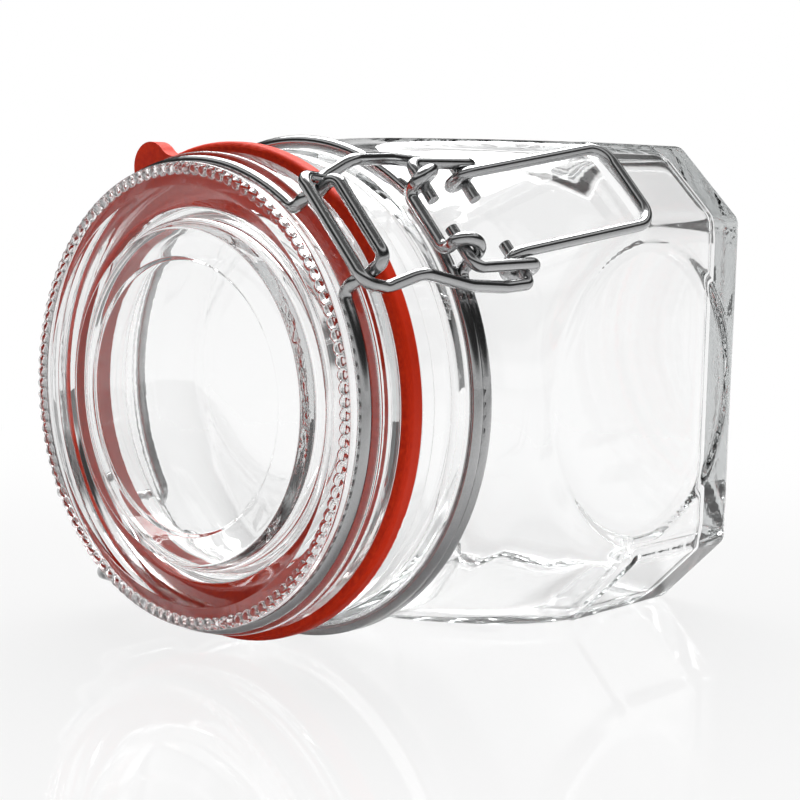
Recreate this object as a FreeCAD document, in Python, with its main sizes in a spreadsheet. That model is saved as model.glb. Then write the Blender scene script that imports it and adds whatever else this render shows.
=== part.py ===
import FreeCAD, Part
import Sketcher
import math
import os

# Clip-top jar: a square glass jar lying on one flat side, its round glass lid
# shut on an orange rubber ring and held by a bail of bent steel wire.
# Frame: +X from lid to base along the jar's axis, +Z up, origin on the floor
# under the middle of the jar. Millimetres.

doc = FreeCAD.newDocument("clip_top_jar")
sheet = doc.addObject("Spreadsheet::Sheet", "sizes")

# Every driving size. "station" sizes are measured from the front of the lid
# toward the base; "reach" sizes are added to the lid's rim radius.
SIZES = {
    # jar glass
    "overall_length": 116.0,
    "jar_width": 101.0,
    "lid_share": 0.4406,
    "corner_share": 0.1525,
    "corner_round": 3.0,
    "heel_round": 2.8,
    "wall": 3.6,
    "base_thick": 6.0,
    "cavity_corner_round": 7.0,
    "cavity_floor_round": 5.0,
    "panel_depth": 0.8,
    "panel_margin": 4.6,
    "panel_from_base": 34.0,
    "mouth_station": 16.0,
    "finish_height": 3.6,
    "finish_reach": 2.9,
    "neck_reach": 1.7,
    "neck_end_station": 27.0,
    "seat_reach": 3.1,
    "seat_end_station": 33.4,
    "shoulder_station": 38.0,
    "shoulder_end_station": 80.0,
    "shoulder_reach": 2.5,
    "bore_inset": 5.3,
    # lid glass
    "centre_face_station": 1.2,
    "plateau_station": 0.6,
    "valley_station": 3.4,
    "centre_radius_share": 0.5955,
    "plateau_radius_share": 0.7303,
    "valley_inner_share": 0.764,
    "valley_outer_share": 0.8674,
    "bead_inner_share": 0.8899,
    "rim_round": 0.6,
    "groove_depth": 1.4,
    "groove_station": 4.5,
    "groove_half": 1.4,
    "flange_reach": 2.0,
    "flange_end_station": 12.0,
    "plug_inset": 6.5,
    "plug_wall": 4.0,
    "plug_end_station": 19.0,
    "lid_underside_station": 6.5,
    # rubber ring
    "gasket_inset": 6.0,
    "gasket_reach": 4.0,
    "gasket_clearance": 0.05,
    "mouth_clearance": 0.3,
    "gasket_round": 1.0,
    "tab_round": 5.0,
    "tab_reach": 9.6,
    "tab_flare": 5.0,
    "tab_thick": 3.2,
    "tab_turn": 152.0,
    # steel wire
    "neck_wire_thick": 2.6,
    "lid_wire_thick": 2.5,
    "link_wire_thick": 2.4,
    "lever_wire_thick": 2.4,
    "wire_seat_clearance": 0.1,
    "latch_turn": 48.0,
    "pivot_station": 29.2,
    "pivot_reach": 9.0,
    "coil_station": 45.0,
    "coil_reach": 6.8,
    "hinge_station": 14.0,
    "hinge_reach": 8.1,
    "handle_station": 78.0,
    "handle_reach": 18.3,
    "handle_half": 10.0,
}
for row, (alias, number) in enumerate(SIZES.items(), start=1):
    cell = "A%d" % row
    sheet.set(cell, str(number))
    sheet.setAlias(cell, alias)
doc.recompute()


class Size:
    """A size: its number now, and the sheet expression that gives it."""

    def __init__(self, number, text):
        self.number = float(number)
        self.text = text

    def __add__(self, other):
        other = plain(other)
        return Size(self.number + other.number, "(%s + %s)" % (self.text, other.text))

    def __sub__(self, other):
        other = plain(other)
        return Size(self.number - other.number, "(%s - %s)" % (self.text, other.text))

    def __mul__(self, other):
        other = plain(other)
        return Size(self.number * other.number, "(%s * %s)" % (self.text, other.text))

    def __neg__(self):
        return Size(-self.number, "(-1 * %s)" % self.text)


def plain(value):
    """A number written in the code, as a Size."""
    if isinstance(value, Size):
        return value
    return Size(value, "%.8g" % value)


def root_of_squares(first, second):
    number = math.hypot(first.number, second.number)
    return Size(number, "sqrt(%s ^ 2 + %s ^ 2)" % (first.text, second.text))


def size(alias):
    return Size(sheet.get(alias), "sizes." + alias)


# ---------------------------------------------------------------- helpers


def origin_plane(body, role):
    for feature in body.Origin.OriginFeatures:
        if feature.Role == role:
            return feature
    raise RuntimeError("no plane " + role)


def new_sketch(body, name, role, lift=None):
    """A sketch on one of the body's own planes, lifted along its normal."""
    sketch = body.newObject("Sketcher::SketchObject", name)
    sketch.AttachmentSupport = [(origin_plane(body, role), "")]
    sketch.MapMode = "FlatFace"
    if lift is not None:
        offset = FreeCAD.Placement(FreeCAD.Vector(0, 0, lift.number), FreeCAD.Rotation())
        sketch.AttachmentOffset = offset
        sketch.setExpression("AttachmentOffset.Base.z", lift.text)
    return sketch


def pin_point(sketch, curve, end, across, up, name):
    """Hold one point of the sketch at two sizes from the sketch's origin."""
    for kind, value, letter, axis in (
        ("DistanceX", across, "x", -2),
        ("DistanceY", up, "y", -1),
    ):
        value = plain(value)
        if value.number == 0:
            sketch.addConstraint(Sketcher.Constraint("PointOnObject", curve, end, axis))
            continue
        number = sketch.addConstraint(
            Sketcher.Constraint(kind, -1, 1, curve, end, value.number)
        )
        label = name + letter
        sketch.renameConstraint(number, label)
        sketch.setExpression("Constraints." + label, value.text)


def draw_outline(sketch, corners):
    """A closed outline. A corner is (x, y), or (x, y, radius, side) where the
    line on to the next corner is an arc, its centre on the left for side 1."""
    curves = []
    total = len(corners)
    for index, corner in enumerate(corners):
        follower = corners[(index + 1) % total]
        here = FreeCAD.Vector(plain(corner[0]).number, plain(corner[1]).number, 0)
        there = FreeCAD.Vector(plain(follower[0]).number, plain(follower[1]).number, 0)
        if len(corner) == 2:
            curve = sketch.addGeometry(Part.LineSegment(here, there), False)
            curves.append((curve, 1, 2))
            continue
        radius = plain(corner[2])
        side = corner[3]
        chord = there - here
        left = FreeCAD.Vector(-chord.y, chord.x, 0).normalize()
        rise = math.sqrt(max(radius.number ** 2 - (chord.Length / 2) ** 2, 0.0))
        centre = (here + there) * 0.5 + left * rise * side
        first, last = (here, there) if side > 0 else (there, here)
        begin = math.atan2(first.y - centre.y, first.x - centre.x)
        finish = math.atan2(last.y - centre.y, last.x - centre.x)
        circle = Part.Circle(centre, FreeCAD.Vector(0, 0, 1), radius.number)
        curve = sketch.addGeometry(Part.ArcOfCircle(circle, begin, finish), False)
        curves.append((curve, 1, 2) if side > 0 else (curve, 2, 1))
        number = sketch.addConstraint(Sketcher.Constraint("Radius", curve, radius.number))
        label = "radius%d" % index
        sketch.renameConstraint(number, label)
        sketch.setExpression("Constraints." + label, radius.text)
    for index in range(total):
        before = curves[index - 1]
        after = curves[index]
        sketch.addConstraint(
            Sketcher.Constraint("Coincident", before[0], before[2], after[0], after[1])
        )
        pin_point(
            sketch, after[0], after[1], corners[index][0], corners[index][1],
            "corner%d" % index,
        )


def edge_names(shape, wanted):
    names = []
    for number, edge in enumerate(shape.Edges, start=1):
        if wanted(edge):
            names.append("Edge%d" % number)
    return names


def at_height(height):
    """Picks the edges lying wholly in one plane across the axis."""
    def wanted(edge):
        box = edge.BoundBox
        return abs(box.ZMin - height) < 1e-4 and abs(box.ZMax - height) < 1e-4
    return wanted


def along_axis(edge):
    direction = edge.tangentAt(edge.FirstParameter)
    return abs(abs(direction.z) - 1) < 1e-6 and edge.Curve.TypeId == "Part::GeomLine"


def round_edges(body, name, base, wanted, radius):
    doc.recompute()
    feature = body.newObject("PartDesign::Fillet", name)
    feature.Base = (base, edge_names(base.Shape, wanted))
    feature.Radius = radius.number
    feature.setExpression("Radius", radius.text)
    doc.recompute()
    return feature


def turn_profile(body, kind, name, sketch):
    """Revolve a sketch drawn as (radius, station) once round the jar's axis."""
    feature = body.newObject(kind, name)
    feature.Profile = sketch
    feature.ReferenceAxis = (sketch, ["V_Axis"])
    feature.Angle = 360.0
    return feature


def place_on_axis(feature, turn):
    """Lay a piece made about its own Z axis along the jar's axis."""
    swing = FreeCAD.Rotation(FreeCAD.Vector(0, 1, 0), 90)
    spin = FreeCAD.Rotation(FreeCAD.Vector(0, 0, 1), turn)
    feature.Placement = FreeCAD.Placement(FreeCAD.Vector(0, 0, 0), swing * spin)
    feature.setExpression("Placement.Base.x", (size("overall_length") * -0.5).text)
    feature.setExpression("Placement.Base.z", (size("jar_width") * 0.5).text)


# ---------------------------------------------------------------- jar glass

half = size("jar_width") * 0.5
lid_radius = size("jar_width") * size("lid_share")
chamfer = size("jar_width") * size("corner_share")
mouth = size("mouth_station")
far_end = size("overall_length")
BEYOND = 40.0


def square_outline(half_width, leg):
    """A square with its corners cut off, centred on the axis."""
    flat = half_width - leg
    return [
        (flat, -half_width),
        (half_width, -flat),
        (half_width, flat),
        (flat, half_width),
        (-flat, half_width),
        (-half_width, flat),
        (-half_width, -flat),
        (-flat, -half_width),
    ]


def shoulder_outline(opening, neck_points, start, corner_radius):
    """What is cut away round the neck and shoulder, as (radius, station)."""
    top = size("shoulder_station")
    end = size("shoulder_end_station")
    rise = corner_radius - start
    run = end - top
    outside = half + BEYOND
    return [
        (outside, mouth - 5.0),
        (opening, mouth - 5.0),
    ] + neck_points + [
        (start, top, run * 0.667, -1),
        (start + rise * 0.204, top + run * 0.2976),
        (start + rise * 0.6207, top + run * 0.5857, run * 1.302, 1),
        (corner_radius, end),
        (outside, end),
    ]


def glass_block(name, half_width, leg, start_station, end_station, round_size, cut):
    """A square block along the axis with its neck and shoulder turned."""
    body = doc.addObject("PartDesign::Body", name)
    outline = new_sketch(body, name + "_outline", "XY_Plane", start_station)
    draw_outline(outline, square_outline(half_width, leg))
    pad = body.newObject("PartDesign::Pad", name + "_block")
    pad.Profile = outline
    pad.Length = (end_station - start_station).number
    pad.setExpression("Length", (end_station - start_station).text)
    rounded = round_edges(body, name + "_corners", pad, along_axis, round_size)
    profile = new_sketch(body, name + "_shoulder_line", "XZ_Plane")
    draw_outline(profile, cut)
    turn_profile(body, "PartDesign::Groove", name + "_shoulder", profile)
    doc.recompute()
    if body.Tip.Shape.Volume >= rounded.Shape.Volume - 1.0:
        raise RuntimeError(name + ": the shoulder cut nothing away")
    return body


neck_radius = lid_radius + size("neck_reach")
finish_radius = lid_radius + size("finish_reach")
seat_radius = lid_radius + size("seat_reach")
shoulder_start = lid_radius + size("shoulder_reach")
finish_end = mouth + size("finish_height")
corner_radius = root_of_squares(half, half - chamfer)

outer_neck = [
    (finish_radius, finish_end),
    (neck_radius, finish_end + 0.9),
    (neck_radius, size("neck_end_station")),
    (seat_radius, size("neck_end_station") + 1.0),
    (seat_radius, size("seat_end_station")),
    (shoulder_start, size("seat_end_station") + 0.8),
]
outer = glass_block(
    "jar_outside", half, chamfer, mouth, far_end, size("corner_round"),
    shoulder_outline(finish_radius, outer_neck, shoulder_start, corner_radius),
)
heel = round_edges(
    outer, "jar_heel", outer.Tip, at_height(far_end.number), size("heel_round")
)

# A shallow round panel on the two upright sides.
panel_radius = half - chamfer - size("panel_margin")
panel_centre = far_end - size("panel_from_base")
for name, lift, reverse in (
    ("panel_front", half, False),
    ("panel_back", -half, True),
):
    before = outer.Tip.Shape.Volume
    ring = new_sketch(outer, name + "_circle", "XZ_Plane", lift)
    circle = Part.Circle(
        FreeCAD.Vector(0, panel_centre.number, 0), FreeCAD.Vector(0, 0, 1),
        panel_radius.number,
    )
    ring.addGeometry(circle, False)
    pin_point(ring, 0, 3, 0, panel_centre, "centre")
    number = ring.addConstraint(Sketcher.Constraint("Radius", 0, panel_radius.number))
    ring.renameConstraint(number, "panel")
    ring.setExpression("Constraints.panel", panel_radius.text)
    pocket = outer.newObject("PartDesign::Pocket", name)
    pocket.Profile = ring
    pocket.Length = size("panel_depth").number
    pocket.setExpression("Length", size("panel_depth").text)
    pocket.Reversed = reverse
    doc.recompute()
    if outer.Tip.Shape.Volume >= before - 1.0:
        raise RuntimeError(name + " cut nothing away")

wall = size("wall")
bore_radius = lid_radius - size("bore_inset")
inner_half = half - wall
inner_chamfer = chamfer - wall * 0.5858
inner_start = shoulder_start - wall * 1.0556
inner_corner = root_of_squares(inner_half, inner_half - inner_chamfer)
inner_neck = [
    (bore_radius, finish_end + 1.4),
    (neck_radius - wall, size("neck_end_station")),
    (inner_start, size("seat_end_station")),
]
inner = glass_block(
    "jar_inside", inner_half, inner_chamfer, mouth - 2.0,
    far_end - size("base_thick"), size("cavity_corner_round"),
    shoulder_outline(bore_radius, inner_neck, inner_start, inner_corner),
)
round_edges(
    inner, "jar_inside_floor", inner.Tip,
    at_height((far_end - size("base_thick")).number), size("cavity_floor_round"),
)

jar_glass = doc.addObject("Part::Cut", "jar_glass")
jar_glass.Base = outer
jar_glass.Tool = inner
jar_glass.Label = "jar_glass"
place_on_axis(jar_glass, 0)

# ---------------------------------------------------------------- lid glass

lid_glass = doc.addObject("PartDesign::Body", "lid_glass")
lid_glass.Label = "lid_glass"
plug_radius = lid_radius - size("plug_inset")
plug_bore = plug_radius - size("plug_wall")
groove = size("groove_station")
groove_floor = lid_radius - size("groove_depth")
flange_radius = lid_radius + size("flange_reach")
underside = size("lid_underside_station")
lid_profile = new_sketch(lid_glass, "lid_profile", "XZ_Plane")
draw_outline(lid_profile, [
    (0, size("centre_face_station")),
    (lid_radius * size("centre_radius_share"), size("centre_face_station")),
    (lid_radius * size("centre_radius_share") + 1.0, size("plateau_station")),
    (lid_radius * size("plateau_radius_share"), size("plateau_station")),
    (lid_radius * size("valley_inner_share"), size("valley_station")),
    (lid_radius * size("valley_outer_share"), size("valley_station")),
    (lid_radius * size("bead_inner_share"), 0),
    (lid_radius - size("rim_round"), 0),
    (lid_radius, size("rim_round")),
    (lid_radius, groove - size("groove_half")),
    (groove_floor, groove - size("groove_half")),
    (groove_floor, groove + size("groove_half")),
    (lid_radius, groove + size("groove_half")),
    (flange_radius, groove + size("groove_half") + 0.5),
    (flange_radius, size("flange_end_station")),
    (plug_radius, size("flange_end_station")),
    (plug_radius, size("plug_end_station")),
    (plug_bore, size("plug_end_station")),
    (plug_bore, underside + 1.5),
    (plug_bore - 1.5, underside),
    (0, underside),
])
turn_profile(lid_glass, "PartDesign::Revolution", "lid_turned", lid_profile)
place_on_axis(lid_glass, 0)

# ---------------------------------------------------------------- rubber ring

gasket = doc.addObject("PartDesign::Body", "gasket")
gasket.Label = "gasket"
ring_in = lid_radius - size("gasket_inset")
ring_out = lid_radius + size("gasket_reach")
ring_near = size("flange_end_station") + size("gasket_clearance")
ring_far = mouth - size("mouth_clearance")
ring_section = new_sketch(gasket, "gasket_section", "XZ_Plane")
draw_outline(ring_section, [
    (ring_in, ring_near),
    (ring_out, ring_near),
    (ring_out, ring_far),
    (ring_in, ring_far),
])
ring_turned = turn_profile(gasket, "PartDesign::Revolution", "gasket_ring", ring_section)


def outer_ring(edge):
    return edge.Curve.TypeId == "Part::GeomCircle" and abs(
        edge.Curve.Radius - ring_out.number
    ) < 1e-4


round_edges(gasket, "gasket_soft_edge", ring_turned, outer_ring, size("gasket_round"))

# The pull tab: a bell-shaped tongue standing out past the lid, its round end
# running down into the ring through a hollow flare on each side.
tab_round = size("tab_round")
tab_flare = size("tab_flare")
tab_tip = lid_radius + size("tab_reach")
tab_near = (ring_near + ring_far) * 0.5 - size("tab_thick") * 0.5
waist = tab_tip - tab_round * 0.62
waist_half = tab_round * 0.925
foot = ring_out - 1.2
foot_half = waist_half + tab_flare * 0.86
tab_shape = new_sketch(gasket, "tab_shape", "XY_Plane", tab_near)
draw_outline(tab_shape, [
    (ring_out - 3.0, -foot_half),
    (foot, -foot_half, tab_flare, -1),
    (waist, -waist_half, tab_round, 1),
    (tab_tip, 0, tab_round, 1),
    (waist, waist_half, tab_flare, -1),
    (foot, foot_half),
    (ring_out - 3.0, foot_half),
])
tab = gasket.newObject("PartDesign::Pad", "gasket_tab")
tab.Profile = tab_shape
tab.Length = size("tab_thick").number
tab.setExpression("Length", size("tab_thick").text)
place_on_axis(gasket, SIZES["tab_turn"])
doc.recompute()

# ---------------------------------------------------------------- bent wire


def bent_wire(points, bends, thickness):
    """Round wire along straight runs joined by bends of the given radii. The
    first and last points are the cut ends; every other point is a corner."""
    edges = []
    last = points[0]
    for index in range(1, len(points) - 1):
        corner = points[index]
        inward = corner - points[index - 1]
        onward = points[index + 1] - corner
        inward.normalize()
        onward.normalize()
        angle = inward.getAngle(onward)
        if angle < 1e-4:
            continue
        radius = bends[index - 1]
        setback = radius * math.tan(angle / 2)
        begin = corner - inward * setback
        finish = corner + onward * setback
        towards = onward - inward
        towards.normalize()
        centre = corner + towards * (radius / math.cos(angle / 2))
        middle = centre - towards * radius
        gap = begin - last
        if gap.Length > 1e-4:
            if gap.dot(inward) < 0:
                raise RuntimeError("bend %d does not fit its run" % index)
            edges.append(Part.makeLine(last, begin))
            start = begin
        else:
            start = last
        edges.append(Part.Arc(start, middle, finish).toShape())
        last = finish
    edges.append(Part.makeLine(last, points[-1]))
    spine = Part.Wire(edges)
    heading = points[1] - points[0]
    section = Part.Wire(Part.makeCircle(thickness / 2, points[0], heading))
    wire = spine.makePipeShell([section], True, False)
    expected = math.pi * (thickness / 2) ** 2 * spine.Length
    if abs(wire.Volume - expected) > 0.02 * expected:
        raise RuntimeError("a bent wire has lost its section")
    return wire


def at(station, radius, side):
    """A point of the latch: station along the axis, height from the axis
    toward the latch, and distance to one side of its middle plane."""
    return FreeCAD.Vector(station, -side, radius)


def ring_corners(station, radius, first, last, steps):
    """Corners whose bends, of the same radius, make one smooth ring."""
    step = (last - first) / steps
    reach = radius / math.cos(math.radians(step / 2))
    corners = []
    for number in range(steps):
        angle = math.radians(first + step * (number + 0.5))
        corners.append(at(station, reach * math.cos(angle), reach * math.sin(angle)))
    return corners


def both_sides(points, bends, middle_bend):
    """Finish a wire that is the same on both sides of its middle plane."""
    mirrored = [FreeCAD.Vector(p.x, -p.y, p.z) for p in reversed(points)]
    return points + mirrored, bends + [middle_bend, middle_bend] + bends[::-1]


def number_of(alias):
    return float(sheet.get(alias))


def leave_ring(radius, side_on, side_off):
    """Where a wire that leaves its ring on a tangent reaches a side distance."""
    angle = math.asin(side_on / radius)
    height = radius * math.cos(angle) + (side_on - side_off) * math.tan(angle)
    return math.degrees(angle), height


def place_latch(feature, shape, name):
    feature.Label = name
    feature.Shape = shape
    base = FreeCAD.Vector(-number_of("overall_length") / 2, 0, number_of("jar_width") / 2)
    turn = FreeCAD.Rotation(FreeCAD.Vector(1, 0, 0), number_of("latch_turn"))
    feature.Placement = FreeCAD.Placement(base, turn)


lid_r = lid_radius.number
pivot_s = number_of("pivot_station")
pivot_r = lid_r + number_of("pivot_reach")
coil_s = number_of("coil_station")
coil_r = lid_r + number_of("coil_reach")
hinge_s = number_of("hinge_station")
hinge_r = lid_r + number_of("hinge_reach")
neck_thick = number_of("neck_wire_thick")
loop = neck_thick / 2 + number_of("lever_wire_thick") / 2 + 0.15

# The neck wire: a ring round the neck whose front ends rise into two eyes
# joined by a bar, and whose rear ends reach forward and hook the lid wire.
ring_r = seat_radius.number + number_of("wire_seat_clearance") + neck_thick / 2
ring_s = pivot_s + loop
front_angle, front_height = leave_ring(ring_r, 13.0, 9.5)
rear_angle, rear_height = leave_ring(ring_r, 9.5, 6.0)
hook = neck_thick / 2 + number_of("lid_wire_thick") / 2 + 0.1
RING_STEPS = 8
ring_points = ring_corners(ring_s, ring_r, 180 - rear_angle, front_angle, RING_STEPS)
half_points = [
    at(hinge_s + 0.5, -(hinge_r - hook), 6.0),
    at(hinge_s - hook, -(hinge_r - hook), 6.0),
    at(hinge_s - hook, -(hinge_r + hook), 6.0),
    at(ring_s, -(hinge_r + hook), 6.0),
    at(ring_s, -rear_height, 6.0),
] + ring_points + [
    at(ring_s, front_height, 9.5),
    at(ring_s, pivot_r + loop, 9.2),
    at(pivot_s - loop, pivot_r + loop, 7.2),
    at(pivot_s - loop, pivot_r - 2.1, 6.9),
]
half_bends = [hook, hook, 2.65, 2.2] + [ring_r] * RING_STEPS + [2.2, loop - 0.05, loop - 0.05]
points, bends = both_sides(half_points, half_bends, 1.9)
ring_and_eyes = bent_wire(points, bends, neck_thick)

# Its second strand lies against the ring along the lower half, from a cut end
# between the eyes to the rear.
strand_s = ring_s - neck_thick + 0.2
strand_corners = ring_corners(strand_s, ring_r, -6.0, 166.0, RING_STEPS)
strand_ends = [at(strand_s, ring_r * math.cos(math.radians(a)),
                  ring_r * math.sin(math.radians(a))) for a in (-6.0, 166.0)]
strand_points = [strand_ends[0]] + strand_corners + [strand_ends[1]]
tail = (strand_points[-1] - strand_points[-2]).normalize()
strand_points[-1] = strand_points[-1] + tail * 0.5
head = (strand_points[0] - strand_points[1]).normalize()
strand_points[0] = strand_points[0] + head * 0.5
second_strand = bent_wire(strand_points, [ring_r] * RING_STEPS, neck_thick)
neck_shape = ring_and_eyes.fuse(second_strand)
neck_wire = doc.addObject("Part::Feature", "neck_wire")
place_latch(neck_wire, neck_shape.Solids[0], "neck_wire")
if len(neck_shape.Solids) != 1:
    raise RuntimeError("the neck wire's two strands do not join")

# The lid wire: sprung into the lid's groove, its front ends turned out into a
# hook for the link, its rear ends turned in as the hinge pins.
lid_thick = number_of("lid_wire_thick")
lid_front_angle, lid_front = leave_ring(lid_r, 13.0, 9.5)
lid_rear_angle, lid_rear = leave_ring(lid_r, 13.0, 10.0)
groove_s = number_of("groove_station")
half_points = [
    at(hinge_s, -hinge_r, 3.5),
    at(hinge_s, -hinge_r, 10.0),
    at(groove_s, -(lid_r + 2.7), 10.0),
    at(groove_s, -lid_rear, 10.0),
] + ring_corners(groove_s, lid_r, 180 - lid_rear_angle, lid_front_angle, RING_STEPS) + [
    at(groove_s, lid_front, 9.5),
    at(groove_s + 0.2, lid_r + 2.4, 9.5),
    at(groove_s + 2.4, lid_r + 3.7, 9.5),
    at(groove_s + 3.3, lid_r + 8.4, 9.5),
]
half_bends = [2.0, 2.0, 2.0] + [lid_r] * RING_STEPS + [2.0, 2.0, 2.0]
points, bends = both_sides(half_points, half_bends, 2.0)
lid_wire = doc.addObject("Part::Feature", "lid_wire")
place_latch(lid_wire, bent_wire(points, bends, lid_thick), "lid_wire")

# The closing link: its bar pulls on the lid wire's hook, its ends are the pins
# in the lever's coils.
link_thick = number_of("link_wire_thick")
half_points = [
    at(coil_s, coil_r, 5.5),
    at(coil_s, coil_r, 15.2),
    at(coil_s - 7.0, coil_r - 0.7, 15.2),
    at(coil_s - 18.0, coil_r + 0.3, 15.2),
    at(groove_s + 10.0, lid_r + 8.7, 13.2),
    at(groove_s + 5.0, lid_r + 4.0, 12.5),
    at(groove_s - 1.1, lid_r + 5.1, 12.2),
]
points, bends = both_sides(half_points, [1.4, 8.0, 10.0, 3.0, 3.0], 2.5)
closing_link = doc.addObject("Part::Feature", "closing_link")
place_latch(closing_link, bent_wire(points, bends, link_thick), "closing_link")

# The lever: pins in the neck wire's eyes, crank arms, one full coil round each
# of the link's pins, then the handle that lies along the shoulder.
lever_thick = number_of("lever_wire_thick")
turn_r = lever_thick / 2 + link_thick / 2 + 0.25
outside = 12.5
shift = (lever_thick + 0.15) / 3
half_points = [
    at(pivot_s, pivot_r, 3.3),
    at(pivot_s, pivot_r, outside),
    at(coil_s + turn_r, coil_r + turn_r, outside - 0.1),
    at(coil_s + turn_r, coil_r - turn_r, outside - 0.1 - shift),
    at(coil_s - turn_r, coil_r - turn_r, outside - 0.1 - 2 * shift),
    at(coil_s - turn_r, coil_r + turn_r, outside - 0.1 - 3 * shift),
    at(number_of("handle_station"), lid_r + number_of("handle_reach"),
       number_of("handle_half")),
]
coil_bend = turn_r - 0.15
points, bends = both_sides(half_points, [2.0] + [coil_bend] * 4, 4.5)
lever = doc.addObject("Part::Feature", "lever")
place_latch(lever, bent_wire(points, bends, lever_thick), "lever")

# ---------------------------------------------------------------- checks, files

doc.recompute()
PIECES = [jar_glass, lid_glass, gasket, neck_wire, lid_wire, closing_link, lever]
for item in doc.Objects:
    for mark in ("Invalid", "Error"):
        if mark in item.State:
            raise RuntimeError("%s is %s" % (item.Name, mark))
for piece in PIECES:
    if piece.Shape.isNull() or not piece.Shape.isValid():
        raise RuntimeError(piece.Label + " has no valid shape")
    if len(piece.Shape.Solids) != 1:
        raise RuntimeError("%s has %d solids" % (piece.Label, len(piece.Shape.Solids)))

os.makedirs("parts", exist_ok=True)
for piece in PIECES:
    piece.Shape.exportStep(os.path.join("parts", piece.Label + ".step"))
    box = piece.Shape.BoundBox
    print("%-13s %9.1f mm3  x %.1f..%.1f  y %.1f..%.1f  z %.1f..%.1f" % (
        piece.Label, piece.Shape.Volume, box.XMin, box.XMax, box.YMin, box.YMax,
        box.ZMin, box.ZMax))
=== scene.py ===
import bpy
import math
import numpy as np
from mathutils import Matrix, Vector


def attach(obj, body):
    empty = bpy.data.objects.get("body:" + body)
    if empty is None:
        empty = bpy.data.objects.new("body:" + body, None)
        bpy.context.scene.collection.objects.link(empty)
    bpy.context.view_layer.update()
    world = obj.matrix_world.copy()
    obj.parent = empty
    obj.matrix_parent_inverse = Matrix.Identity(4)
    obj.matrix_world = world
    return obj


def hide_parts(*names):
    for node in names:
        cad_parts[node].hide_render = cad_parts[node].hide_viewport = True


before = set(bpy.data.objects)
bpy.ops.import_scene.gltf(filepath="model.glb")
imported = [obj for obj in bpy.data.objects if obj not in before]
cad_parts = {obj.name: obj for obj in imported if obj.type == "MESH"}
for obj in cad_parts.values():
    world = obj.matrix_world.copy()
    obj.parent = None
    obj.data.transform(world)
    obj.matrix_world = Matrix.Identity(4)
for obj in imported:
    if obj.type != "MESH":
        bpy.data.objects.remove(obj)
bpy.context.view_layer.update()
MM = 0.001

# ------------------------------------------------------------------ sizes (mm)
# Stations run from the front of the lid toward the base.
LENGTH = 116.0
HALF = 50.5
CHAMFER = 15.4
LID_R = 44.5
AXIS_Z = 50.5
START_X = -58.0
WALL = 3.6
BASE_THICK = 6.0
HEEL_ROUND = 2.8
CAVITY_FLOOR_ROUND = 5.0
CAVITY_CORNER_ROUND = 2.4
CUT_INSET = 0.5858  # how far a corner's cut shrinks for each mm of inset
MOUTH_R = LID_R - 5.3
NECK_R = LID_R + 2.5
BAND_R = LID_R + 1.7
MOUTH_STATION = 16.0
SHOULDER_START = 38.0
SHOULDER_END = 80.0
PANEL_DEPTH = 0.8
PANEL_LIP = 1.6
PANEL_MARGIN = 4.6
PANEL_FROM_BASE = 34.0
FLANGE_R = LID_R + 2.0
PLUG_R = 38.0
CONTACT_R = 38.58
CONTACT_STATION = 12.09


# ------------------------------------------------------------------ materials
def new_material(name):
    mat = bpy.data.materials.new(name)
    mat.use_nodes = True
    mat.node_tree.nodes.clear()
    return mat, mat.node_tree.nodes, mat.node_tree.links


def glass_material():
    mat, nodes, links = new_material("clear_glass")
    out = nodes.new("ShaderNodeOutputMaterial")
    glass = nodes.new("ShaderNodeBsdfPrincipled")
    glass.inputs["Base Color"].default_value = (1, 1, 1, 1)
    glass.inputs["Roughness"].default_value = 0.0
    glass.inputs["IOR"].default_value = 1.5
    glass.inputs["Transmission Weight"].default_value = 1.0
    noise = nodes.new("ShaderNodeTexNoise")
    noise.inputs["Scale"].default_value = 60.0
    noise.inputs["Detail"].default_value = 1.0
    bump = nodes.new("ShaderNodeBump")
    bump.inputs["Strength"].default_value = 0.005
    bump.inputs["Distance"].default_value = 0.0008
    links.new(noise.outputs["Fac"], bump.inputs["Height"])
    links.new(bump.outputs["Normal"], glass.inputs["Normal"])
    soak = nodes.new("ShaderNodeVolumeAbsorption")
    soak.inputs["Color"].default_value = (0.79, 0.80, 0.80, 1)
    soak.inputs["Density"].default_value = 24.0
    links.new(glass.outputs["BSDF"], out.inputs["Surface"])
    links.new(soak.outputs["Volume"], out.inputs["Volume"])
    return mat


def rubber_material():
    mat, nodes, links = new_material("orange_rubber")
    out = nodes.new("ShaderNodeOutputMaterial")
    skin = nodes.new("ShaderNodeBsdfPrincipled")
    skin.inputs["Roughness"].default_value = 0.5
    skin.inputs["Specular IOR Level"].default_value = 0.15
    noise = nodes.new("ShaderNodeTexNoise")
    noise.inputs["Scale"].default_value = 90.0
    noise.inputs["Detail"].default_value = 5.0
    ramp = nodes.new("ShaderNodeValToRGB")
    ramp.color_ramp.elements[0].position = 0.3
    ramp.color_ramp.elements[0].color = (0.66, 0.020, 0.003, 1)
    ramp.color_ramp.elements[1].position = 0.7
    ramp.color_ramp.elements[1].color = (0.84, 0.042, 0.005, 1)
    links.new(noise.outputs["Fac"], ramp.inputs["Fac"])
    links.new(ramp.outputs["Color"], skin.inputs["Base Color"])
    fine = nodes.new("ShaderNodeTexNoise")
    fine.inputs["Scale"].default_value = 1400.0
    fine.inputs["Detail"].default_value = 3.0
    bump = nodes.new("ShaderNodeBump")
    bump.inputs["Strength"].default_value = 0.25
    bump.inputs["Distance"].default_value = 0.0001
    links.new(fine.outputs["Fac"], bump.inputs["Height"])
    links.new(bump.outputs["Normal"], skin.inputs["Normal"])
    links.new(skin.outputs["BSDF"], out.inputs["Surface"])
    return mat


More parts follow.
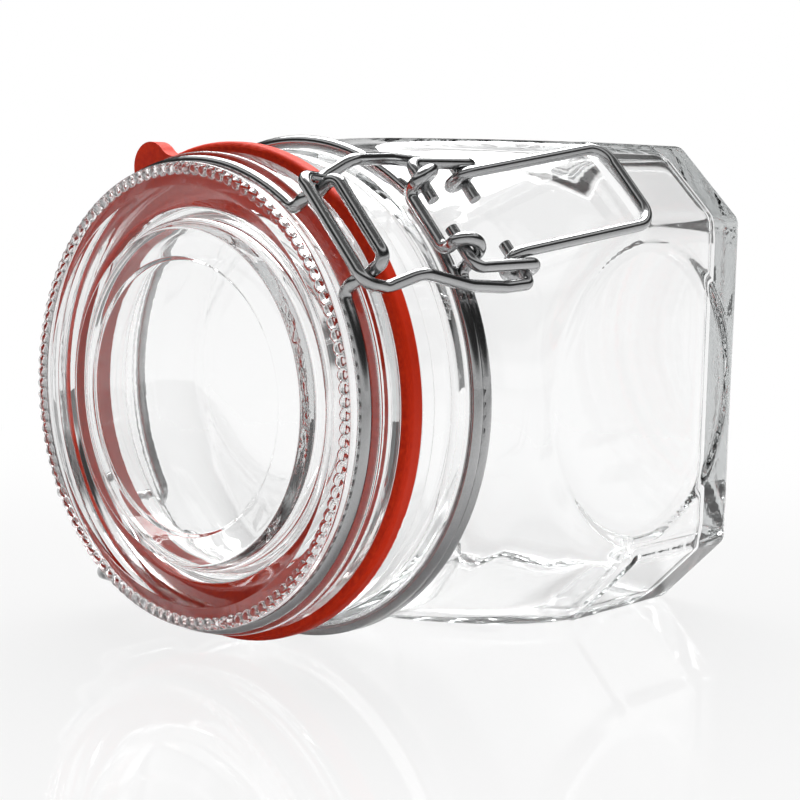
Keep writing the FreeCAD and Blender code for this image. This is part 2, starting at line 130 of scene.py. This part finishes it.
def wire_material():
    mat, nodes, links = new_material("steel_wire")
    out = nodes.new("ShaderNodeOutputMaterial")
    steel = nodes.new("ShaderNodeBsdfPrincipled")
    steel.inputs["Metallic"].default_value = 1.0
    noise = nodes.new("ShaderNodeTexNoise")
    noise.inputs["Scale"].default_value = 500.0
    noise.inputs["Detail"].default_value = 4.0
    ramp = nodes.new("ShaderNodeValToRGB")
    ramp.color_ramp.elements[0].position = 0.3
    ramp.color_ramp.elements[0].color = (0.26, 0.265, 0.27, 1)
    ramp.color_ramp.elements[1].position = 0.7
    ramp.color_ramp.elements[1].color = (0.46, 0.46, 0.46, 1)
    links.new(noise.outputs["Fac"], ramp.inputs["Fac"])
    links.new(ramp.outputs["Color"], steel.inputs["Base Color"])
    rough = nodes.new("ShaderNodeMapRange")
    rough.inputs["To Min"].default_value = 0.10
    rough.inputs["To Max"].default_value = 0.20
    links.new(noise.outputs["Fac"], rough.inputs["Value"])
    links.new(rough.outputs["Result"], steel.inputs["Roughness"])
    bump = nodes.new("ShaderNodeBump")
    bump.inputs["Strength"].default_value = 0.08
    bump.inputs["Distance"].default_value = 0.0001
    links.new(noise.outputs["Fac"], bump.inputs["Height"])
    links.new(bump.outputs["Normal"], steel.inputs["Normal"])
    links.new(steel.outputs["BSDF"], out.inputs["Surface"])
    return mat


GLASS = glass_material()
RUBBER = rubber_material()
STEEL = wire_material()


# ------------------------------------------------------------------ mesh tools
def fillet_outline(corners, bend_step=9.0):
    """Round the corners of an open outline. A corner is (radius, station, rounding)."""
    points = []
    total = len(corners)
    for index, corner in enumerate(corners):
        here = np.array(corner[:2], float)
        radius = corner[2]
        if radius <= 0 or index in (0, total - 1):
            points.append(here)
            continue
        before = np.array(corners[index - 1][:2], float)
        after = np.array(corners[index + 1][:2], float)
        inward = here - before
        onward = after - here
        inward /= np.linalg.norm(inward)
        onward /= np.linalg.norm(onward)
        turn = math.acos(max(-1.0, min(1.0, float(inward @ onward))))
        if turn < 1e-3:
            points.append(here)
            continue
        setback = radius * math.tan(turn / 2)
        toward = onward - inward
        toward /= np.linalg.norm(toward)
        centre = here + toward * radius / math.cos(turn / 2)
        first = here - inward * setback - centre
        steps = max(2, int(math.ceil(math.degrees(turn) / bend_step)))
        last = here + onward * setback - centre
        for number in range(steps + 1):
            share = number / steps
            mix = math.sin((1 - share) * turn) * first + math.sin(share * turn) * last
            points.append(centre + mix / math.sin(turn))
    return [tuple(p) for p in points]


def divide(points, longest):
    """Add points so that no run of the outline is longer than this."""
    result = [points[0]]
    for a, b in zip(points[:-1], points[1:]):
        run = math.hypot(b[0] - a[0], b[1] - a[1])
        steps = max(1, int(math.ceil(run / longest)))
        for number in range(1, steps + 1):
            share = number / steps
            result.append((a[0] + (b[0] - a[0]) * share, a[1] + (b[1] - a[1]) * share))
    return result


def soft_min(a, b, k):
    """The smaller of two distances, blended over k where they meet."""
    h = np.clip(0.5 + 0.5 * (b - a) / k, 0, 1)
    return b * (1 - h) + a * h - k * h * (1 - h)


def grid_mesh(name, rows, material, first_pole, last_pole, flip=False):
    """A mesh from rings of points, all with the same count. rows: (R, T, 3) mm."""
    rings, turns, _ = rows.shape
    verts = rows.reshape(-1, 3)
    index = np.arange(rings * turns).reshape(rings, turns)
    a = index[:-1]
    b = index[1:]
    quads = np.stack([a, np.roll(a, -1, 1), np.roll(b, -1, 1), b], -1).reshape(-1, 4)
    faces = [tuple(q) for q in quads.tolist()]
    verts = verts.tolist()
    for pole, ring, turned in ((first_pole, 0, True), (last_pole, rings - 1, False)):
        centre = len(verts)
        verts.append(list(pole))
        for t in range(turns):
            p, q = int(index[ring, t]), int(index[ring, (t + 1) % turns])
            faces.append((q, p, centre) if turned else (p, q, centre))
    verts = [(x * MM, y * MM, z * MM) for x, y, z in verts]
    mesh = bpy.data.meshes.new(name)
    mesh.from_pydata(verts, [], faces)
    mesh.update()
    if flip:
        mesh.flip_normals()
    mesh.polygons.foreach_set("use_smooth", [True] * len(mesh.polygons))
    mesh.materials.append(material)
    obj = bpy.data.objects.new(name, mesh)
    bpy.context.scene.collection.objects.link(obj)
    return obj


def to_frame(station, radius, angle):
    """Station and polar position about the jar's axis, angle from -Y over the top."""
    y = -radius * np.cos(angle)
    z = AXIS_Z + radius * np.sin(angle)
    return np.stack([np.full(len(angle), START_X + station), y, z], -1)


# ------------------------------------------------------------------ jar glass
def octagon(angle, half, leg, round_k):
    """Distance from the axis to a square with cut, softly rounded corners."""
    corner = (2 * half - leg) / math.sqrt(2)
    result = None
    for number in range(8):
        centre = number * math.pi / 4
        distance = half if number % 2 == 0 else corner
        facing = np.cos(angle - centre)
        plane = np.where(facing > 0.2, distance / np.maximum(facing, 0.2), 400.0)
        result = plane if result is None else soft_min(result, plane, round_k)
    return result


def jar_angles():
    """Angles round the jar, closer together at the eight long edges."""
    edge = math.atan2(HALF - CHAMFER, HALF)
    marks = []
    for quarter in range(4):
        base = quarter * math.pi / 2
        for lean in (-edge, edge):
            for offset in np.linspace(-0.05, 0.05, 17):
                marks.append(base + lean + offset)
        step = math.radians(0.8 if quarter % 2 == 0 else 1.2)
        inner = edge - 0.053
        count = int(math.ceil(2 * inner / step))
        marks.extend(base + np.linspace(-inner, inner, count + 1))
        span = math.pi / 2 - 2 * edge - 0.106
        count = max(2, int(math.ceil(span / math.radians(1.2))))
        marks.extend(base + edge + 0.053 + np.linspace(0, span, count + 1))
    marks = np.sort(np.mod(np.array(marks), 2 * math.pi))
    keep = np.concatenate([[True], np.diff(marks) > 0.0015])
    return marks[keep]


def shoulder_points(start, end_radius):
    """The turned shoulder: an arc out of the neck, a slope and a long arc."""
    s0, s1 = SHOULDER_START, SHOULDER_END
    rise, run = end_radius - start, s1 - s0
    p0 = np.array([start, s0])
    p1 = np.array([start + rise * 0.204, s0 + run * 0.2976])
    p2 = np.array([start + rise * 0.6207, s0 + run * 0.5857])
    p3 = np.array([end_radius, s1])
    points = []
    for a, b, radius, side in ((p0, p1, run * 0.667, -1), (p2, p3, run * 1.302, 1)):
        chord = b - a
        length = np.linalg.norm(chord)
        left = np.array([-chord[1], chord[0]]) / length
        centre = (a + b) / 2 + left * side * math.sqrt(radius ** 2 - (length / 2) ** 2)
        first, last = a - centre, b - centre
        turn = math.acos(float(first @ last) / radius ** 2)
        steps = max(6, int(length / 0.9))
        for number in range(steps + 1):
            share = number / steps
            mix = math.sin((1 - share) * turn) * first + math.sin(share * turn) * last
            points.append(tuple(centre + mix / math.sin(turn)))
    return points


def build_jar():
    angle = jar_angles()
    turns = len(angle)
    vertex = math.hypot(HALF, HALF - CHAMFER)

    outer = fillet_outline([
        (MOUTH_R, MOUTH_STATION, 0),
        (LID_R + 2.9, MOUTH_STATION, 0.9),
        (LID_R + 2.9, 19.6, 0.9),
        (BAND_R, 20.9, 0.8),
        (BAND_R, 27.0, 1.5),
        (LID_R + 3.1, 28.4, 0.9),
        (LID_R + 3.1, 33.4, 0.9),
        (NECK_R, 34.6, 1.5),
        (NECK_R, SHOULDER_START, 0),
    ])
    outer = divide(outer, 1.2)
    outer += divide(shoulder_points(NECK_R, vertex), 0.8)[1:]
    rows = []
    prism = octagon(angle, HALF, CHAMFER, 1.0)
    for radius, station in outer:
        grow = np.full(turns, radius)
        rows.append(to_frame(station, soft_min(grow, prism, 2.0), angle))
    heel = HEEL_ROUND
    for station in np.arange(80.7, LENGTH - heel, 0.7):
        rows.append(to_frame(station, prism, angle))
    for number in range(0, 10):
        lean = number / 9 * math.pi / 2
        inset = heel * (1 - math.cos(lean))
        station = LENGTH - heel + heel * math.sin(lean)
        shape = octagon(angle, HALF - inset, CHAMFER - inset * CUT_INSET, 1.0)
        rows.append(to_frame(station, shape, angle))
    rim = octagon(angle, HALF - heel, CHAMFER - heel * CUT_INSET, 1.0)
    for share in (0.97, 0.93, 0.88, 0.8, 0.7, 0.55, 0.4, 0.25, 0.1):
        rows.append(to_frame(LENGTH, rim * share, angle))
    outer_rows = np.array(rows)

    # The round panels of the two upright sides, sunk with a soft lip.
    panel_r = HALF - CHAMFER - PANEL_MARGIN
    panel_x = START_X + LENGTH - PANEL_FROM_BASE
    x, y, z = outer_rows[..., 0], outer_rows[..., 1], outer_rows[..., 2]
    away = np.hypot(x - panel_x, z - AXIS_Z)
    share = np.clip((panel_r - away) / PANEL_LIP + 0.5, 0, 1)
    share = share * share * (3 - 2 * share)
    floor_y = HALF - PANEL_DEPTH * share
    outer_rows[..., 1] = np.clip(y, -floor_y, floor_y)

    # The cavity.
    in_half = HALF - WALL
    in_leg = CHAMFER - WALL * CUT_INSET
    in_vertex = math.hypot(in_half, in_half - in_leg)
    start = NECK_R - 3.8
    inner = fillet_outline([
        (MOUTH_R, MOUTH_STATION, 0),
        (MOUTH_R, 21.0, 3.0),
        (BAND_R - WALL, 27.0, 5.0),
        (start, 33.4, 3.0),
        (start, SHOULDER_START, 0),
    ])
    inner = divide(inner, 1.2)
    inner += divide(shoulder_points(start, in_vertex), 0.9)[1:]
    cave = octagon(angle, in_half, in_leg, CAVITY_CORNER_ROUND)
    rows = []
    for radius, station in inner:
        rows.append(to_frame(station, soft_min(np.full(turns, radius), cave, 3.0), angle))
    depth = LENGTH - BASE_THICK
    bowl = CAVITY_FLOOR_ROUND
    for station in np.arange(81.0, depth - bowl, 1.0):
        rows.append(to_frame(station, cave, angle))
    for number in range(0, 11):
        lean = number / 10 * math.pi / 2
        inset = bowl * (1 - math.cos(lean))
        station = depth - bowl + bowl * math.sin(lean)
        leg = in_leg - inset * CUT_INSET
        shape = octagon(angle, in_half - inset, leg, CAVITY_CORNER_ROUND)
        rows.append(to_frame(station, shape, angle))
    leg = in_leg - bowl * CUT_INSET
    bottom = octagon(angle, in_half - bowl, leg, CAVITY_CORNER_ROUND)
    for share in (0.95, 0.88, 0.8, 0.7, 0.55, 0.4, 0.25, 0.1):
        rows.append(to_frame(depth, bottom * share, angle))
    inner_rows = np.array(rows)

    rows = np.concatenate([outer_rows[::-1], inner_rows[1:]], 0)
    jar = grid_mesh(
        "jar_body", rows, GLASS,
        first_pole=(START_X + LENGTH, 0, AXIS_Z), last_pole=(START_X + depth, 0, AXIS_Z),
    )
    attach(jar, "jar")
    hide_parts("jar_glass")


# ------------------------------------------------------------------ lid glass
BEADS = 116
BEAD_BAND = (42.0, 44.3)  # radii of the band that carries them
BEAD_BAND_STATION = 0.9
BEAD_HEIGHT = 0.88


def build_lid():
    outline = fillet_outline([
        (0.0, 1.2, 0),
        (26.1, 1.2, 0.4),
        (26.7, 0.7, 0.4),
        (32.2, 0.7, 0.5),
        (33.4, 3.7, 0.8),
        (36.0, 3.7, 1.2),
        (40.2, 1.0, 1.0),
        (41.9, 0.9, 0),
    ], bend_step=12)
    front = divide(outline, 1.0)
    back = fillet_outline([
        (44.4, 0.95, 0),
        (LID_R, 1.3, 0.1),
        (LID_R, 3.1, 0.25),
        (LID_R - 1.4, 3.1, 0.3),
        (LID_R - 1.4, 5.9, 0.3),
        (LID_R, 5.9, 0.4),
        (FLANGE_R, 6.4, 0.8),
        (FLANGE_R, 12.0, 0.5),
        # Here the glass meets the rubber, so that the red is seen through it.
        (39.9, 12.0, 0),
        (39.7, CONTACT_STATION, 0),
        (CONTACT_R, CONTACT_STATION, 0.1),
        (CONTACT_R, 15.6, 0.2),
        (PLUG_R, 16.4, 0.3),
        (PLUG_R, 19.0, 1.6),
        (34.4, 19.0, 1.6),
        (33.6, 6.5, 2.0),
        (0.0, 6.5, 0),
    ], bend_step=15)
    back = divide(back, 1.4)
    turns = BEADS * 10
    angle = np.linspace(0, 2 * math.pi, turns, endpoint=False)
    rows = []
    for radius, station in front[1:]:
        rows.append(to_frame(station, np.full(turns, radius), angle))
    # The row of beads round the rim, pressed up from the band between them.
    along = np.mod(angle * BEADS / math.pi, 2.0) - 1.0
    middle, half = sum(BEAD_BAND) / 2, (BEAD_BAND[1] - BEAD_BAND[0]) / 2
    for radius in np.linspace(*BEAD_BAND, 13):
        across = (radius - middle) / half
        dome = np.sqrt(np.clip(1 - across ** 2 - along ** 2, 0, 1))
        station = BEAD_BAND_STATION - BEAD_HEIGHT * dome
        rows.append(to_frame(station, np.full(turns, radius), angle))
    for radius, station in back[:-1]:
        rows.append(to_frame(station, np.full(turns, radius), angle))
    rows = np.array(rows)
    lid = grid_mesh(
        "lid_disc", rows, GLASS, flip=True,
        first_pole=(START_X + 1.2, 0, AXIS_Z), last_pole=(START_X + 6.5, 0, AXIS_Z),
    )
    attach(lid, "lid")
    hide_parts("lid_glass")


build_jar()
build_lid()

for node, material in (
    ("jar_glass", GLASS), ("lid_glass", GLASS), ("gasket", RUBBER),
    ("neck_wire", STEEL), ("lid_wire", STEEL), ("closing_link", STEEL), ("lever", STEEL),
):
    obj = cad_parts[node]
    obj.data.materials.clear()
    obj.data.materials.append(material)

# ------------------------------------------------------------------ floor
def seen_directly(nodes, links):
    """1 for the camera's own rays and those through glass, less for mirror rays."""
    paths = nodes.new("ShaderNodeLightPath")
    mirrored = nodes.new("ShaderNodeMath")
    mirrored.operation = "MULTIPLY"
    mirrored.inputs[1].default_value = 0.2
    links.new(paths.outputs["Is Glossy Ray"], mirrored.inputs[0])
    total = mirrored.outputs["Value"]
    for kind in ("Is Camera Ray", "Is Transmission Ray"):
        either = nodes.new("ShaderNodeMath")
        either.operation = "MAXIMUM"
        links.new(total, either.inputs[0])
        links.new(paths.outputs[kind], either.inputs[1])
        total = either.outputs["Value"]
    return total


bpy.ops.mesh.primitive_plane_add(size=6.0, location=(0, 0, -0.0002))
floor = bpy.context.object
floor.name = "floor"
mat, nodes, links = new_material("white_floor")
out = nodes.new("ShaderNodeOutputMaterial")
matt = nodes.new("ShaderNodeBsdfDiffuse")
matt.inputs["Color"].default_value = (0.93, 0.93, 0.93, 1)
white = nodes.new("ShaderNodeEmission")
white.inputs["Color"].default_value = (1, 1, 1, 1)
white.inputs["Strength"].default_value = 1.0
share = nodes.new("ShaderNodeMath")
share.operation = "MULTIPLY"
share.inputs[1].default_value = 0.93
direct = seen_directly(nodes, links)
links.new(direct, share.inputs[0])
base = nodes.new("ShaderNodeMixShader")
links.new(share.outputs["Value"], base.inputs["Fac"])
links.new(matt.outputs["BSDF"], base.inputs[1])
links.new(white.outputs["Emission"], base.inputs[2])
gloss = nodes.new("ShaderNodeBsdfGlossy")
gloss.inputs["Roughness"].default_value = 0.03
mix = nodes.new("ShaderNodeMixShader")
mix.inputs["Fac"].default_value = 0.10
links.new(base.outputs["Shader"], mix.inputs[1])
links.new(gloss.outputs["BSDF"], mix.inputs[2])
# Away from the object the floor turns to the plain white of the backdrop.
place = nodes.new("ShaderNodeTexCoord")
span = nodes.new("ShaderNodeVectorMath")
span.operation = "LENGTH"
links.new(place.outputs["Object"], span.inputs[0])
fade = nodes.new("ShaderNodeMapRange")
fade.interpolation_type = "SMOOTHSTEP"
fade.inputs["From Min"].default_value = 0.06
fade.inputs["From Max"].default_value = 0.30
links.new(span.outputs["Value"], fade.inputs["Value"])
away = nodes.new("ShaderNodeMath")
away.operation = "MULTIPLY"
links.new(fade.outputs["Result"], away.inputs[0])
links.new(direct, away.inputs[1])
blend = nodes.new("ShaderNodeMixShader")
links.new(away.outputs["Value"], blend.inputs["Fac"])
links.new(mix.outputs["Shader"], blend.inputs[1])
links.new(white.outputs["Emission"], blend.inputs[2])
links.new(blend.outputs["Shader"], out.inputs["Surface"])
floor.data.materials.append(mat)

# ------------------------------------------------------------------ light
world = bpy.data.worlds.new("studio")
bpy.context.scene.world = world
world.use_nodes = True
nodes, links = world.node_tree.nodes, world.node_tree.links
nodes.clear()
out = nodes.new("ShaderNodeOutputWorld")
paths = nodes.new("ShaderNodeLightPath")
coord = nodes.new("ShaderNodeTexCoord")
split = nodes.new("ShaderNodeSeparateXYZ")
links.new(coord.outputs["Generated"], split.inputs["Vector"])
lift = nodes.new("ShaderNodeMapRange")
lift.inputs["From Min"].default_value = -1.0
lift.inputs["From Max"].default_value = 1.0
links.new(split.outputs["Z"], lift.inputs["Value"])


def studio(bands, flags=()):
    """A white room with darker bands, (height, level) from floor to ceiling, and
    dark flags round the table: (heading from +X, reach), both in degrees."""
    ramp = nodes.new("ShaderNodeValToRGB")
    ramp.color_ramp.interpolation = "EASE"
    stops = ramp.color_ramp.elements
    stops[0].position = 0.0
    stops[0].color = (1, 1, 1, 1)
    stops[1].position = 1.0
    stops[1].color = (1, 1, 1, 1)
    for height, level in bands:
        stop = stops.new(height * 0.5 + 0.5)
        stop.color = (level, level, level, 1)
    links.new(lift.outputs["Result"], ramp.inputs["Fac"])
    level = ramp.outputs["Color"]
    for heading, reach in flags:
        toward = nodes.new("ShaderNodeVectorMath")
        toward.operation = "DOT_PRODUCT"
        turn = math.radians(heading)
        toward.inputs[1].default_value = (math.cos(turn), math.sin(turn), 0)
        links.new(coord.outputs["Generated"], toward.inputs[0])
        shade = nodes.new("ShaderNodeMapRange")
        shade.interpolation_type = "SMOOTHSTEP"
        shade.inputs["From Min"].default_value = math.cos(math.radians(reach))
        shade.inputs["From Max"].default_value = math.cos(math.radians(reach - 8))
        shade.inputs["To Min"].default_value = 1.0
        shade.inputs["To Max"].default_value = 0.18
        links.new(toward.outputs["Value"], shade.inputs["Value"])
        darker = nodes.new("ShaderNodeVectorMath")
        darker.operation = "SCALE"
        links.new(level, darker.inputs[0])
        links.new(shade.outputs["Result"], darker.inputs["Scale"])
        level = darker.outputs["Vector"]
    room = nodes.new("ShaderNodeBackground")
    room.inputs["Strength"].default_value = 1.0
    links.new(level, room.inputs["Color"])
    return room.outputs["Background"]


def either_light(kind, first, second):
    pick = nodes.new("ShaderNodeMixShader")
    links.new(paths.outputs[kind], pick.inputs["Fac"])
    links.new(first, pick.inputs[1])
    links.new(second, pick.inputs[2])
    return pick.outputs["Shader"]


plain = nodes.new("ShaderNodeBackground")
plain.inputs["Color"].default_value = (1, 1, 1, 1)
plain.inputs["Strength"].default_value = 1.0
fill = nodes.new("ShaderNodeBackground")
fill.inputs["Color"].default_value = (1, 1, 1, 1)
fill.inputs["Strength"].default_value = 0.18
through = studio(
    [(0.25, 1.0), (0.36, 0.05), (0.60, 0.05), (0.72, 1.0)],
    flags=((135, 34), (-30, 34), (225, 20)),
)
mirror = studio([
    (0.10, 1.0), (0.20, 0.04), (0.55, 0.04), (0.62, 1.0),
    (0.74, 1.0), (0.80, 0.15), (0.94, 0.15),
])
light = either_light("Is Glossy Ray", fill.outputs["Background"], mirror)
light = either_light("Is Transmission Ray", light, through)
light = either_light("Is Camera Ray", light, plain.outputs["Background"])
links.new(light, out.inputs["Surface"])


def soft_lamp(name, place, size, power):
    data = bpy.data.lights.new(name, "AREA")
    data.shape = "RECTANGLE"
    data.size, data.size_y = size
    data.energy = power
    lamp = bpy.data.objects.new(name, data)
    lamp.location = place
    aim = Vector((0, 0, 0.05)) - Vector(place)
    lamp.rotation_euler = aim.to_track_quat("-Z", "Y").to_euler()
    bpy.context.scene.collection.objects.link(lamp)


soft_lamp("top_light", (0.25, 0.25, 0.8), (0.8, 0.8), 15.0)

bpy.context.scene.view_settings.view_transform = "Standard"
cycles = bpy.context.scene.cycles
cycles.max_bounces = 32
cycles.transmission_bounces = 32
cycles.glossy_bounces = 24

# ------------------------------------------------------------------ camera
cam_data = bpy.data.cameras.new("camera")
cam = bpy.data.objects.new("camera", cam_data)
bpy.context.scene.collection.objects.link(cam)
bpy.context.scene.camera = cam
cam_data.sensor_width = 36.0
cam_data.lens = 80.84
cam_data.clip_start = 0.02
cam_data.clip_end = 50.0
PAN, TILT, ROLL = 0.7346, 0.1231, 0.0223
look = Vector((math.cos(PAN) * math.cos(TILT), math.sin(PAN) * math.cos(TILT), -math.sin(TILT)))
right = look.cross(Vector((0, 0, 1))).normalized()
up = right.cross(look)
c, s = math.cos(ROLL), math.sin(ROLL)
right, up = c * right + s * up, -s * right + c * up
turn = Matrix((right, up, -look)).transposed()
cam.matrix_world = Matrix.Translation((-0.2801, -0.2573, 0.0928)) @ turn.to_4x4()
